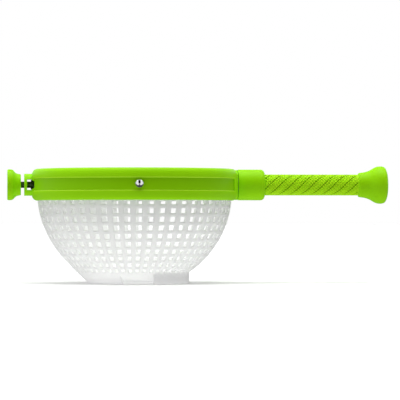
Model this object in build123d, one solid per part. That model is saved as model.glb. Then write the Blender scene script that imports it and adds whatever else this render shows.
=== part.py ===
from build123d import *
import math
import os

# All sizes are in millimetres. The bowl stands on Z = 0 and spins about a line along X.

# Clearances shared by the fits.
RUN = 0.05
SLIM = 0.1
FREE = 0.3
LOOSE = 0.5

# Bowl: part of a ball with an upright rim above and a flat bottom.
BOWL_R = 106.8
FLAT_R = 44.7
FLAT_Z = 3.0
BOWL_WALL = 2.2

# Square holes in rows round the wall and round holes in the bottom.
HOLE_COLUMNS = 52
HOLE_ROWS = 10
HOLE_PITCH = 9.9
HOLE_FIRST = 11.3
HOLE_TALL = 6.3
HOLE_SHARE = 0.5
BOTTOM_HOLE_R = 2.7

# Foot ring in two arcs, an upright one and a sloping skirt, with gaps at the front and back.
FOOT_R = 60.0
FOOT_THICK = 3.0
FOOT_ARC = 144.0
SKIRT_TOP_R = 63.0
SKIRT_FOOT_R = 51.0

# Ring frame and lid rim, measured up or down from the spin axis.
AXIS_OVER = 7.5
RING_WIDE = 6.2
RING_HALF = 17.25
RING_WALL = 2.8
CORNER = 4.0
EDGE = 0.5
PART_DZ = 6.5
BAND_LOW = -6.5
BAND_DEEP = 1.2
BAND_ARC = 144.0
LIP_HIGH = 2.65
LEDGE_TOP = 4.1
LEDGE_HIGH = 2.4

# Lid: a rim with a web inside it, and a dished panel with square holes on the web.
PANEL_THICK = 2.2
PANEL_SUNK = 0.45
PANEL_DISH = 4.0
PANEL_PITCH = 12.5
PANEL_HOLE = 6.0
PANEL_SCREWS = 6
SEAT_WIDE = 7.0
RIM_WIDE = 7.0
WEB_HIGH = 2.4
SKIRT_WALL = 2.0
SKIRT_IN = 2.4

# Small countersunk screws: shank, extra radius of the head and height of its cone.
SMALL_SHANK_R = 1.0
SHANK_R = 1.25
HEAD_MORE = 1.0
HEAD_EDGE = 0.1

# Hinge at the back of the ring.
HINGE_SINK = 0.2
KNUCKLE_R = 3.2
HINGE_PIN_R = 1.3
LID_KNUCKLE = 21.0
SIDE_KNUCKLE = 6.0

# Latch at the front: a domed button on a stem, with a disc behind it that holds the catch plate.
DOME_R = 4.9
DOME_HIGH = 3.4
DOME_POCKET = 1.5
PRESS = 1.8
STEM_R = 1.5
STEM_TAIL_R = 1.0
DISC_R = 3.2
DISC_THICK = 1.6
CATCH_THICK = 1.2
CATCH_WIDE = 11.0
CATCH_GAP = 0.45
CATCH_LOW = -6.2
COIL_OUT = 1.1
COIL_WIRE_R = 0.35
COIL_TURNS = 3

# Pivot yoke on the left of the ring, the pin in it and the knob that swivels on the pin.
YOKE_LONG = 8.0
YOKE_R = 12.0
YOKE_WALL = 3.1
YOKE_EDGE = 1.2
WINDOW_HALF = 5.75
CONE_DEEP = 3.0
CONE_R = 5.3
CONE_EDGE = 0.8
PIN_R = 3.45
JOURNAL_R = 3.0
TAIL_R = 2.5
KNOB_GAP = 3.6
KNOB_LONG = 14.9
KNOB_R = 16.9
KNOB_NECK_R = 12.1
KNOB_EDGE = 1.5
KNOB_BRIM = 3.7
KNOB_NECK = 3.7
KNOB_WAIST = (7.3, 15.25)
PAD_THICK = 2.0
PAD_R = 12.0
PAD_GROOVE = 1.5
PAD_GROOVE_R = 7.5
PAD_GROOVE_DEEP = 0.6
PIVOT_BUSH_WALL = 1.45
PIVOT_BUSH_LONG = 8.0
PIVOT_CAVITY = 3.0
CLIP_THICK = 0.9
CLIP_DEEP = 0.5
CLIP_GAP = 3.2
PIN_END = 2.2

# Drive hub on the right of the ring, the clutch inside it and the collar that turns on it.
HUB_IN_GRIP = 0.55
HUB_NECK_R = 6.0
HUB_LONG = 20.2
HUB_WALL = 3.0
HUB_FLOOR = 1.2
HUB_FLANGE = 2.8
HUB_SCREW_ANGLES = (-165, -125, -55, -15)
HUB_CLIP_IN = 3.1
HUB_CLIP_DEEP = 0.8
HUB_CLIP_GAP = 5.0
HUB_CLIP_OUT = 1.2
COLLAR_WALL = 3.9
COLLAR_LONG = 29.5
COLLAR_ROUND = 4.4
COLLAR_EDGE = 0.8
COLLAR_BUSH_WALL = 1.95
CUP_LONG = 12.0
CUP_WALL = 1.4
CAM_GAP = 0.2
ROLLER_R = 1.3
ROLLERS = 5
ROLLER_GAP = 0.06
ROLLER_RAMP = 0.9
ROLLER_SINK = 0.35
ROLLER_END = 1.2
WASHER_THICK = 2.0
WASHER_LAP = 0.4

# Spiral shaft and drive nut. The shaft makes whole turns over the stroke of the grip.
STROKE = 85.0
TURNS = 2
SHAFT_SIDE = 7.4
SHAFT_ROUND = 1.4
SPIGOT_R = 3.5
SPIGOT_PAST = 2.0
NUT_LONG = 13.5
NUT_FLANGE = 0.5
NUT_SPARE = 5.0
STOP_THICK = 3.0
STOP_SCREW_LONG = 9.0
ROUND_HEAD_R = 2.6
ROUND_HEAD_HIGH = 2.0

# Grip and end knob.
GRIP_R = 11.55
GRIP_GAP = 2.5
GRIP_EDGE = 0.8
GRIP_WALL = 2.05
TUBE_WALL = 1.75
TUBE_IN_KNOB = 15.0
GRIP_SPARE = 2.0
END_LONG = 32.7
END_NECK = 1.25
END_FLARE = 7.9
END_STEP = 2.2
END_STEP_OUT = 0.75
END_WIDEST = 25.5
END_SHAPE = ((10.2, 2.4), (17.9, 6.3), (29.8, 5.5))
CAP_R = 9.0
CAP_THICK = 2.2
PLUG_LONG = 12.0
KNOB_SCREW_IN = 10.0

# Places worked out from the sizes, along Z and outwards from the bowl's axis.
BALL_Z = FLAT_Z + math.sqrt(BOWL_R ** 2 - FLAT_R ** 2)
AXIS_Z = BALL_Z + AXIS_OVER
RING_R = BOWL_R + RING_WIDE
FRAME_IN = RING_R - RING_WALL
BAND_R = RING_R - BAND_DEEP
LIP_R = BOWL_R + FREE
LEDGE_R = BOWL_R + LOOSE
LOW_Z = AXIS_Z - RING_HALF
TOP_Z = AXIS_Z + RING_HALF
PART_Z = AXIS_Z + PART_DZ
LEDGE_Z = AXIS_Z + LEDGE_TOP
SEAT_Z = TOP_Z - PANEL_SUNK - PANEL_THICK
WEB_Z = SEAT_Z - WEB_HIGH
SEAT_R = RING_R - RIM_WIDE
WEB_R = SEAT_R - SEAT_WIDE
SKIRT_R = BOWL_R - SKIRT_IN
HINGE_Y = RING_R + KNUCKLE_R - HINGE_SINK
COIL_R = STEM_R + COIL_OUT
CATCH_R = FRAME_IN - CATCH_GAP
DISC_FACE = FRAME_IN - SLIM
DOME_BASE = BAND_R + PRESS + FREE

# Places along X on the pivot's side.
YOKE_X = -RING_R - YOKE_LONG
CONE_X = -RING_R + CONE_DEEP
KNOB_IN_X = YOKE_X - KNOB_GAP
KNOB_OUT_X = KNOB_IN_X - KNOB_LONG
CLIP_X = KNOB_IN_X - PIVOT_BUSH_LONG
PIVOT_BUSH_R = JOURNAL_R + RUN + PIVOT_BUSH_WALL
PIVOT_CAVITY_R = PIVOT_BUSH_R + PIVOT_CAVITY

# Radii and places along X on the grip's side.
TUBE_R = GRIP_R - GRIP_WALL
TUBE_BORE_R = TUBE_R - TUBE_WALL
HUB_R = GRIP_R - HUB_IN_GRIP
HUB_BORE_R = HUB_R - HUB_WALL
HUB_SCREW_AT = HUB_R + SHANK_R + HEAD_MORE + SLIM
HUB_FLANGE_R = HUB_SCREW_AT + HUB_FLANGE
BUSH_OUT_R = HUB_R + RUN + COLLAR_BUSH_WALL
COLLAR_R = BUSH_OUT_R + COLLAR_WALL
PAD_FACE_R = COLLAR_R - FREE
END_NECK_R = GRIP_R + END_NECK
END_R = END_NECK_R + END_FLARE
HUB_X = RING_R + FREE
HUB_END_X = HUB_X + HUB_LONG
COLLAR_X = RING_R + LOOSE
COLLAR_END_X = COLLAR_X + COLLAR_LONG
HUB_CLIP_X = HUB_END_X - HUB_CLIP_IN
CUP_X = HUB_X + HUB_FLOOR + LOOSE
CUP_END_X = CUP_X + CUP_LONG
CUP_R = HUB_BORE_R - CUP_WALL
CAM_R = CUP_R - CAM_GAP
WASHER_R = CAM_R - WASHER_LAP
ROLLER_AT = CUP_R - ROLLER_R - ROLLER_GAP
GRIP_X = HUB_END_X + GRIP_GAP
NUT_X = GRIP_X + NUT_FLANGE
NUT_END_X = NUT_X + NUT_LONG
SHAFT_END_X = NUT_END_X + STROKE + NUT_SPARE
GRIP_END_X = SHAFT_END_X + STOP_THICK + ROUND_HEAD_HIGH + GRIP_SPARE
TUBE_END_X = GRIP_END_X + TUBE_IN_KNOB
END_X = GRIP_END_X + END_LONG
CAP_X = END_X - CAP_THICK
LEAD = STROKE / TURNS
MIDDLE_X = (END_X + KNOB_OUT_X) / 2

SPIN_AXIS = Axis((0, 0, AXIS_Z), (1, 0, 0))
BOWL_AXIS = Axis((0, 0, 0), (0, 0, 1))
FAR = 500.0


def section(points, rounds=()):
    """A closed outline from points, with some of its corners rounded."""
    face = make_face(Polyline(*points, close=True))
    for place, radius in rounds:
        corner = face.vertices().sort_by_distance((place[0], place[1], 0))[0]
        face = fillet(corner, radius)
    return face


def turned_x(face):
    """A section of (x, radius) turned about the spin axis."""
    return Pos(0, 0, AXIS_Z) * revolve(face, Axis.X)


def turned_z(face, arc=360.0, start=0.0):
    """A section of (radius, z) turned about the bowl's axis."""
    return Rot(0, 0, start) * revolve(Plane.XZ * face, BOWL_AXIS, arc)


def rod_x(x0, x1, radius, y=0.0, z=AXIS_Z):
    """A cylinder along X from x0 to x1."""
    return Pos((x0 + x1) / 2, y, z) * Rot(0, 90, 0) * Cylinder(radius, abs(x1 - x0))


def rod_y(y0, y1, radius):
    """A cylinder along Y from y0 to y1, at the height of the spin axis."""
    return Pos(0, (y0 + y1) / 2, AXIS_Z) * Rot(90, 0, 0) * Cylinder(radius, abs(y1 - y0))


def sleeve_x(x0, x1, inner, outer):
    """A plain tube along the spin axis."""
    return rod_x(x0, x1, outer) - rod_x(x0, x1, inner)


def block(x0, x1, y0, y1, z0, z1):
    """A box between two corners."""
    return Pos((x0 + x1) / 2, (y0 + y1) / 2, (z0 + z1) / 2) * Box(x1 - x0, y1 - y0, z1 - z0)


def layer(z0, z1):
    """All the space between two heights."""
    return block(-FAR, FAR, -FAR, FAR, z0, z1)


def drum(radius, z0, z1):
    """A cylinder on the bowl's axis between two heights."""
    return Pos(0, 0, (z0 + z1) / 2) * Cylinder(radius, z1 - z0)


def around(shape, axis, count, start=0.0):
    """Copies of a shape spaced evenly round an axis."""
    return [shape.rotate(axis, start + 360.0 * i / count) for i in range(count)]


def wall_z(radius):
    """Height of the middle of the bowl's wall at a distance from its axis."""
    return BALL_Z - math.sqrt((BOWL_R - BOWL_WALL / 2) ** 2 - radius ** 2)


def bowl_filling(radius, flat_z, top_z):
    """The bowl's shape as a full body of the given radius."""
    flat_r = math.sqrt(radius ** 2 - (BALL_Z - flat_z) ** 2)
    edges = [
        Line((0, flat_z), (flat_r, flat_z)),
        RadiusArc((flat_r, flat_z), (radius, BALL_Z), -radius),
        Line((radius, BALL_Z), (radius, top_z)),
        Line((radius, top_z), (0, top_z)),
        Line((0, top_z), (0, flat_z)),
    ]
    return turned_z(make_face(edges))


def bowl_holes():
    """A ring of cutters for each row of the wall, and rings of round ones for the bottom."""
    rings = []
    deep = 4 * BOWL_WALL
    first = math.degrees(math.asin(HOLE_FIRST / BOWL_R))
    step = math.degrees(HOLE_PITCH / BOWL_R)
    for row in range(HOLE_ROWS):
        down = first + step * row
        round_the_bowl = 2 * math.pi * BOWL_R * math.cos(math.radians(down))
        cutter = Box(deep, HOLE_SHARE * round_the_bowl / HOLE_COLUMNS, HOLE_TALL)
        placed = Pos(0, 0, BALL_Z) * Rot(0, down, 0) * Pos(BOWL_R, 0, 0) * cutter
        rings.append(around(placed, BOWL_AXIS, HOLE_COLUMNS))
    for ring in range(1, int(FLAT_R / HOLE_PITCH) + 1):
        cutter = Pos(ring * HOLE_PITCH, 0, FLAT_Z) * Cylinder(BOTTOM_HOLE_R, deep)
        rings.append(around(cutter, BOWL_AXIS, 6 * ring))
    return rings


def foot_upright():
    """Section of the upright arc of the foot ring."""
    inside = FOOT_R - FOOT_THICK
    return section([(inside, 0), (FOOT_R, 0), (FOOT_R, wall_z(FOOT_R)), (inside, wall_z(inside))])


def foot_skirt():
    """Section of the arc that carries on the slope of the bowl's wall."""
    inside = SKIRT_FOOT_R - FOOT_THICK
    back = SKIRT_TOP_R - FOOT_THICK
    return section([
        (inside, 0), (SKIRT_FOOT_R, 0), (SKIRT_TOP_R, wall_z(SKIRT_TOP_R)),
        (back, wall_z(back)), (inside, wall_z(inside)),
    ])


def catch_way():
    """Slot that the catch plate drops through."""
    half = CATCH_WIDE / 2 + LOOSE
    inner = CATCH_R - CATCH_THICK - LOOSE
    return block(-half, half, -FRAME_IN, -inner, LEDGE_Z - LEDGE_HIGH - LOOSE, PART_Z + LOOSE)


def disc_way():
    """Room behind the ring's wall for the latch disc to travel in."""
    return rod_y(-CATCH_R, -BOWL_R + 2 * BOWL_WALL, DISC_R + LOOSE)


def make_bowl():
    top = PART_Z - FREE
    bowl = bowl_filling(BOWL_R, FLAT_Z, top) + drum(FRAME_IN - FREE, LEDGE_Z, top)
    bowl -= bowl_filling(BOWL_R - BOWL_WALL, FLAT_Z + BOWL_WALL, top + LOOSE)
    for ring in bowl_holes():
        bowl = bowl.cut(*ring)
    bowl = bowl - disc_way() - catch_way()
    bowl += turned_z(foot_upright(), FOOT_ARC, -FOOT_ARC / 2)
    return bowl + turned_z(foot_skirt(), FOOT_ARC, 180 - FOOT_ARC / 2)


def frame_section():
    """Outer wall, bottom lip and the ledge that the bowl's flange rests on."""
    points = [
        (RING_R, PART_Z), (RING_R, LOW_Z), (LIP_R, LOW_Z), (LIP_R, LOW_Z + LIP_HIGH),
        (FRAME_IN, LOW_Z + LIP_HIGH), (FRAME_IN, LEDGE_Z - LEDGE_HIGH), (LEDGE_R, LEDGE_Z - LEDGE_HIGH),
        (LEDGE_R, LEDGE_Z), (FRAME_IN, LEDGE_Z), (FRAME_IN, PART_Z),
    ]
    return section(points, [((RING_R, LOW_Z), CORNER)])


def band_cutter(start):
    """The recess round the middle of the ring, over one arc."""
    low = AXIS_Z + BAND_LOW
    outer = RING_R + LOOSE
    points = [(BAND_R, low), (outer, low), (outer, PART_Z), (BAND_R, PART_Z)]
    return turned_z(section(points), BAND_ARC, start)


def frame_knuckle(x0):
    """One hinge ear of the frame."""
    x1 = x0 + SIDE_KNUCKLE
    ear = rod_x(x0, x1, KNUCKLE_R, HINGE_Y, PART_Z)
    ear += block(x0, x1, FRAME_IN, HINGE_Y, PART_Z - KNUCKLE_R, PART_Z - RUN)
    return ear - rod_x(x0, x1, HINGE_PIN_R, HINGE_Y, PART_Z)


def hub_pad():
    """Flat face on the ring for the drive hub, below the lid."""
    return rod_x(FRAME_IN, RING_R, PAD_FACE_R) & layer(LOW_Z, PART_Z - FREE)


def hub_screw_places(shape):
    """Copies of a shape at the drive hub's screws."""
    return [shape.rotate(SPIN_AXIS, angle) for angle in HUB_SCREW_ANGLES]


def hub_screw_recesses():
    """Way in for the screw heads from the flat face."""
    head = rod_x(RING_R - FREE, RING_R + LOOSE, SHANK_R + HEAD_MORE, HUB_SCREW_AT)
    return hub_screw_places(head)


def make_yoke():
    """The pivot yoke, outside the ring's wall and clear of the lid's rim."""
    yoke = rod_x(YOKE_X, -FRAME_IN + RING_WALL, YOKE_R)
    yoke = fillet(yoke.edges().filter_by(GeomType.CIRCLE).sort_by(Axis.X)[0], YOKE_EDGE)
    return yoke - drum(FRAME_IN, 0, FAR) - drum(RING_R + LOOSE, PART_Z, FAR)


def window_cutter():
    """Window across the yoke, narrowing into the ring's wall round the pin's cone."""
    x0 = YOKE_X + YOKE_WALL
    x1 = -RING_R - FREE
    slim = PIN_R + FREE
    points = [
        (x0, AXIS_Z - WINDOW_HALF), (x1, AXIS_Z - WINDOW_HALF), (CONE_X, AXIS_Z - slim),
        (CONE_X, AXIS_Z + slim), (x1, AXIS_Z + WINDOW_HALF), (x0, AXIS_Z + WINDOW_HALF),
    ]
    return extrude(Plane.XZ * section(points), 3 * YOKE_R, both=True)


def make_frame_ring():
    frame = turned_z(frame_section())
    for start in (-90 - BAND_ARC / 2, 90 - BAND_ARC / 2):
        frame -= band_cutter(start)
    # Face and socket for the drive hub.
    frame += hub_pad()
    frame -= rod_x(FRAME_IN - FREE, RING_R + LOOSE, HUB_NECK_R)
    frame = frame.cut(*make_hub_screws(), *hub_screw_recesses())
    # Pivot yoke and a solid seat for the pin's tail.
    frame += make_yoke() + rod_x(-FRAME_IN - SLIM, -LIP_R, LEDGE_TOP - SLIM)
    frame -= window_cutter()
    frame -= rod_x(YOKE_X - LOOSE, CONE_X, PIN_R) + rod_x(CONE_X, -LIP_R + LOOSE, TAIL_R)
    # Hinge ears, latch bore and the slot for the catch plate.
    for x0 in (LID_KNUCKLE / 2 + LOOSE, -LID_KNUCKLE / 2 - LOOSE - SIDE_KNUCKLE):
        frame += frame_knuckle(x0)
    frame -= rod_y(-RING_R - LOOSE, -FRAME_IN + LOOSE, STEM_R + RUN)
    return frame - disc_way() - catch_way()


def lid_section():
    """Rim, web and the inner skirt that drops inside the bowl's flange."""
    skirt_low = PART_Z + FREE
    skirt_out = SKIRT_R + SKIRT_WALL
    points = [
        (RING_R, PART_Z), (RING_R, TOP_Z), (SEAT_R, TOP_Z), (SEAT_R, SEAT_Z),
        (WEB_R, SEAT_Z), (WEB_R, WEB_Z), (SKIRT_R, WEB_Z), (SKIRT_R, skirt_low),
        (skirt_out, skirt_low), (skirt_out, WEB_Z), (FRAME_IN, WEB_Z), (FRAME_IN, PART_Z),
    ]
    return section(points, [((RING_R, TOP_Z), CORNER), ((RING_R, PART_Z), EDGE), ((SEAT_R, TOP_Z), EDGE)])


def make_lid_ring():
    half = LID_KNUCKLE / 2
    ear = rod_x(-half, half, KNUCKLE_R, HINGE_Y, PART_Z)
    ear += block(-half, half, RING_R - RING_WALL / 2, HINGE_Y, PART_Z + RUN, PART_Z + KNUCKLE_R)
    lid = turned_z(lid_section()) + ear
    lid -= rod_x(-half, half, HINGE_PIN_R + RUN, HINGE_Y, PART_Z)
    return lid.cut(*make_panel_screws())


def countersunk(shank, length):
    """Section of a countersunk screw as (radius, depth), with its head's face at depth 0."""
    head = shank + HEAD_MORE
    neck = HEAD_EDGE + HEAD_MORE
    return [(0, 0), (head, 0), (head, -HEAD_EDGE), (shank, -neck), (shank, -length), (0, -length)]


def make_panel_screws():
    """Screws through the lid panel's rim into the web."""
    outline = section(countersunk(SMALL_SHANK_R, PANEL_THICK + WEB_HIGH))
    screw = Pos((WEB_R + SEAT_R) / 2, 0, SEAT_Z + PANEL_THICK) * turned_z(outline)
    return around(screw, BOWL_AXIS, PANEL_SCREWS, 180 / PANEL_SCREWS)


def panel_section():
    """A flat rim and a dished middle, as part of a large ball."""
    rim = WEB_R - LOOSE
    outer = SEAT_R - FREE
    top = SEAT_Z + PANEL_THICK
    ball = (rim ** 2 + PANEL_DISH ** 2) / (2 * PANEL_DISH)
    return make_face([
        RadiusArc((rim, top), (0, top - PANEL_DISH), ball),
        Line((0, top - PANEL_DISH), (0, SEAT_Z - PANEL_DISH)),
        RadiusArc((0, SEAT_Z - PANEL_DISH), (rim, SEAT_Z), -ball),
        Line((rim, SEAT_Z), (outer, SEAT_Z)),
        Line((outer, SEAT_Z), (outer, top)),
        Line((outer, top), (rim, top)),
    ])


def make_lid_panel():
    panel = turned_z(panel_section())
    for ring in range(1, int((WEB_R - PANEL_HOLE) / PANEL_PITCH) + 1):
        cutter = Pos(ring * PANEL_PITCH, 0, SEAT_Z) * Box(PANEL_HOLE, PANEL_HOLE, 4 * PANEL_DISH)
        panel = panel.cut(*around(cutter, BOWL_AXIS, 6 * ring))
    return panel.cut(*make_panel_screws())


def make_hinge_pin():
    half = LID_KNUCKLE / 2 + LOOSE + SIDE_KNUCKLE
    return rod_x(-half, half, HINGE_PIN_R, HINGE_Y, PART_Z)


def make_catch_plate():
    half = CATCH_WIDE / 2
    inner = CATCH_R - CATCH_THICK
    plate = block(-half, half, -CATCH_R, -inner, AXIS_Z + CATCH_LOW, WEB_Z)
    plate += block(-half, half, -inner, -SKIRT_R - SKIRT_WALL - FREE, WEB_Z - CATCH_THICK, WEB_Z)
    plate -= rod_y(-CATCH_R, -inner, DISC_R + FREE)
    slot = STEM_R + FREE
    return plate - block(-slot, slot, -CATCH_R, -inner, AXIS_Z + CATCH_LOW, AXIS_Z)


def make_latch_button():
    ball = (DOME_R ** 2 + DOME_HIGH ** 2) / (2 * DOME_HIGH)
    tip = DOME_BASE + DOME_HIGH
    dome = make_face([
        RadiusArc((DOME_R, DOME_BASE), (0, tip), -ball),
        Line((0, tip), (0, DOME_BASE)),
        Line((0, DOME_BASE), (DOME_R, DOME_BASE)),
    ])
    button = Pos(0, 0, AXIS_Z) * Rot(0, 0, 180) * revolve(dome, Axis.Y)
    pocket_end = DOME_BASE + DOME_POCKET
    button -= rod_y(-DOME_BASE, -pocket_end, COIL_R + COIL_WIRE_R + FREE)
    button += rod_y(-DISC_FACE, -pocket_end - SLIM, STEM_R)
    return button + rod_y(-DISC_FACE + DISC_THICK, -DISC_FACE, STEM_TAIL_R)


def make_latch_disc():
    inner = DISC_FACE - DISC_THICK
    return rod_y(-DISC_FACE, -inner, DISC_R) - rod_y(-DISC_FACE, -inner, STEM_TAIL_R)


def make_latch_spring():
    low = BAND_R + COIL_WIRE_R
    long = DOME_BASE + DOME_POCKET - COIL_WIRE_R - low
    path = Helix(long / COIL_TURNS, long, COIL_R)
    wire = Plane(origin=path @ 0, z_dir=path % 0) * Circle(COIL_WIRE_R)
    return Pos(0, -low, AXIS_Z) * Rot(90, 0, 0) * sweep(wire, path)


def make_pivot_pin():
    groove_r = JOURNAL_R - CLIP_DEEP
    points = [
        (-LIP_R - SLIM, 0), (-LIP_R - SLIM, TAIL_R), (CONE_X, TAIL_R), (CONE_X, PIN_R),
        (-RING_R, CONE_R), (-RING_R - CONE_EDGE, CONE_R), (-RING_R - CONE_EDGE, PIN_R), (KNOB_IN_X, PIN_R),
        (KNOB_IN_X, JOURNAL_R), (CLIP_X, JOURNAL_R), (CLIP_X, groove_r), (CLIP_X - CLIP_THICK, groove_r),
        (CLIP_X - CLIP_THICK, JOURNAL_R), (CLIP_X - PIN_END, JOURNAL_R), (CLIP_X - PIN_END, 0),
    ]
    return turned_x(section(points))


def make_pivot_knob():
    out = KNOB_OUT_X
    neck_x = KNOB_IN_X - KNOB_NECK
    brim_x = out + KNOB_BRIM
    middle = (out + KNOB_WAIST[0], KNOB_WAIST[1])
    knob = turned_x(make_face([
        Line((KNOB_IN_X, 0), (out, 0)),
        Line((out, 0), (out, KNOB_R - KNOB_EDGE)),
        RadiusArc((out, KNOB_R - KNOB_EDGE), (out + KNOB_EDGE, KNOB_R), KNOB_EDGE),
        Line((out + KNOB_EDGE, KNOB_R), (brim_x, KNOB_R)),
        Spline((brim_x, KNOB_R), middle, (neck_x, KNOB_NECK_R), tangents=[(1, 0), (1, 0)]),
        Line((neck_x, KNOB_NECK_R), (KNOB_IN_X - KNOB_EDGE, KNOB_NECK_R)),
        RadiusArc((KNOB_IN_X - KNOB_EDGE, KNOB_NECK_R), (KNOB_IN_X, KNOB_NECK_R - KNOB_EDGE), KNOB_EDGE),
        Line((KNOB_IN_X, KNOB_NECK_R - KNOB_EDGE), (KNOB_IN_X, 0)),
    ]))
    knob -= rod_x(KNOB_IN_X, CLIP_X, PIVOT_BUSH_R) + rod_x(CLIP_X, out, PIVOT_CAVITY_R)
    return knob - rod_x(out, out + PAD_THICK, PAD_R)


def make_pivot_bush():
    return sleeve_x(CLIP_X + SLIM, KNOB_IN_X - SLIM, JOURNAL_R + RUN, PIVOT_BUSH_R)


def open_clip(x, inner, outer, gap):
    """A circlip with its gap at the top."""
    ring = sleeve_x(x, x + CLIP_THICK, inner, outer)
    return ring - block(x, x + CLIP_THICK, -gap / 2, gap / 2, AXIS_Z, AXIS_Z + outer)


def make_pivot_clip():
    return open_clip(CLIP_X - CLIP_THICK, JOURNAL_R - CLIP_DEEP, PIVOT_BUSH_R + FREE, CLIP_GAP)


def make_pivot_pad():
    groove = sleeve_x(KNOB_OUT_X, KNOB_OUT_X + PAD_GROOVE_DEEP, PAD_GROOVE_R, PAD_GROOVE_R + PAD_GROOVE)
    return rod_x(KNOB_OUT_X, KNOB_OUT_X + PAD_THICK, PAD_R) - groove


def make_hub_screws():
    """Screws through the ring's flat face into the hub's flange."""
    face = RING_R - FREE
    outline = countersunk(SHANK_R, face - LIP_R - LOOSE)
    screw = turned_x(section([(face + depth, radius) for radius, depth in outline]))
    return hub_screw_places(Pos(0, HUB_SCREW_AT, 0) * screw)


def make_drive_hub():
    flange = rod_x(0, FRAME_IN, HUB_FLANGE_R) & drum(FRAME_IN, 0, FAR)
    flange &= layer(LOW_Z + LIP_HIGH + FREE, LEDGE_Z - LEDGE_HIGH - FREE)
    hub = flange - drum(LIP_R + FREE, 0, FAR)
    hub += rod_x(FRAME_IN - FREE, HUB_X, HUB_NECK_R) + rod_x(HUB_X, HUB_END_X, HUB_R)
    hub -= rod_x(HUB_X + HUB_FLOOR, HUB_END_X, HUB_BORE_R)
    hub -= sleeve_x(HUB_CLIP_X, HUB_CLIP_X + CLIP_THICK + FREE, HUB_R - HUB_CLIP_DEEP, HUB_R + LOOSE)
    return hub.cut(*make_hub_screws())


def make_collar():
    step_x = HUB_END_X + LOOSE
    mouth_r = GRIP_R + FREE
    points = [
        (COLLAR_X, BUSH_OUT_R), (COLLAR_X, COLLAR_R), (COLLAR_END_X, COLLAR_R),
        (COLLAR_END_X, mouth_r), (step_x, mouth_r), (step_x, BUSH_OUT_R),
    ]
    rounds = [((COLLAR_END_X, COLLAR_R), COLLAR_ROUND), ((COLLAR_X, COLLAR_R), COLLAR_EDGE)]
    return turned_x(section(points, rounds))


def make_collar_bush():
    return sleeve_x(COLLAR_X + LOOSE, HUB_CLIP_X, HUB_R + RUN, BUSH_OUT_R)


def make_collar_clip():
    return open_clip(HUB_CLIP_X + SLIM, HUB_R - HUB_CLIP_DEEP, HUB_R + HUB_CLIP_OUT, HUB_CLIP_GAP)


def make_clutch_cup():
    return sleeve_x(CUP_X, CUP_END_X, CUP_R, HUB_BORE_R)


def make_clutch_cam():
    cam = sleeve_x(CUP_X + FREE, CUP_END_X, SPIGOT_R, CAM_R)
    z = AXIS_Z + ROLLER_AT
    half = ROLLER_R + ROLLER_GAP
    x0 = CUP_X + ROLLER_END
    x1 = CUP_END_X - ROLLER_END
    pocket = rod_x(x0, x1, half, 0, z) + block(x0, x1, -half, half + ROLLER_RAMP, z - ROLLER_SINK, z + half)
    return cam.cut(*around(pocket, SPIN_AXIS, ROLLERS))


def make_clutch_rollers():
    roller = rod_x(CUP_X + ROLLER_END + SLIM, CUP_END_X - ROLLER_END - SLIM, ROLLER_R, 0, AXIS_Z + ROLLER_AT)
    return around(roller, SPIN_AXIS, ROLLERS)


def make_clutch_washer():
    return sleeve_x(CUP_END_X + SLIM, CUP_END_X + SLIM + WASHER_THICK, WASHER_R, HUB_BORE_R)


def twisted_bar(grow, x0, x1):
    """The shaft's square section, larger by a clearance all round, twisted about the spin axis."""
    side = SHAFT_SIDE + 2 * grow
    profile = RectangleRounded(side, side, SHAFT_ROUND + grow).face()
    turn = 360.0 / LEAD
    bar = Solid.extrude_linear_with_rotation(profile, (0, 0, 0), (0, 0, x1 - x0), turn * (x1 - x0))
    return Pos(x0, 0, AXIS_Z) * Rot(0, 90, 0) * Rot(0, 0, turn * (x0 - SHAFT_END_X)) * bar


def make_spiral_shaft():
    shaft = twisted_bar(0, CUP_END_X, SHAFT_END_X)
    shaft += rod_x(CUP_X + FREE, CUP_END_X + SPIGOT_PAST, SPIGOT_R)
    return shaft - rod_x(SHAFT_END_X - STOP_SCREW_LONG, SHAFT_END_X, SHANK_R)


def make_shaft_stop():
    return sleeve_x(SHAFT_END_X, SHAFT_END_X + STOP_THICK, SHANK_R, TUBE_BORE_R - FREE)


def round_head_screw(x0, head_x):
    """A round-headed screw along the spin axis."""
    return rod_x(x0, head_x, SHANK_R) + rod_x(head_x, head_x + ROUND_HEAD_HIGH, ROUND_HEAD_R)


def make_stop_screw():
    return round_head_screw(SHAFT_END_X - STOP_SCREW_LONG, SHAFT_END_X + STOP_THICK)


def make_drive_nut():
    nut = rod_x(NUT_X, NUT_END_X, TUBE_BORE_R) + rod_x(GRIP_X, NUT_X, TUBE_R)
    return nut - twisted_bar(FREE, GRIP_X - LOOSE, NUT_END_X + LOOSE)


def make_grip_tube():
    return sleeve_x(NUT_X, TUBE_END_X, TUBE_BORE_R, TUBE_R)


def make_grip_sleeve():
    points = [(GRIP_X, TUBE_R), (GRIP_X, GRIP_R), (GRIP_END_X, GRIP_R), (GRIP_END_X, TUBE_R)]
    return turned_x(section(points, [((GRIP_X, GRIP_R), GRIP_EDGE)]))


def make_end_knob():
    x = GRIP_END_X
    step = (x + END_STEP, END_NECK_R + END_STEP_OUT)
    widest = (x + END_WIDEST, END_R)
    waist, flare, brow = [(x + along, END_NECK_R + out) for along, out in END_SHAPE]
    knob = turned_x(make_face([
        Line((x, 0), (x, END_NECK_R)),
        Line((x, END_NECK_R), step),
        Spline(step, waist, flare, widest, tangents=[(1, 0.1), (1, 0)]),
        Spline(widest, brow, (END_X, CAP_R), tangents=[(1, 0), (0.1, -1)]),
        Line((END_X, CAP_R), (CAP_X, CAP_R)),
        Line((CAP_X, CAP_R), (CAP_X, 0)),
        Line((CAP_X, 0), (x, 0)),
    ]))
    knob -= rod_x(x, TUBE_END_X, TUBE_R)
    head_x = CAP_X - ROUND_HEAD_HIGH - SLIM
    return knob - rod_x(TUBE_END_X, head_x, SHANK_R) - rod_x(head_x, CAP_X, ROUND_HEAD_R)


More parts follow.
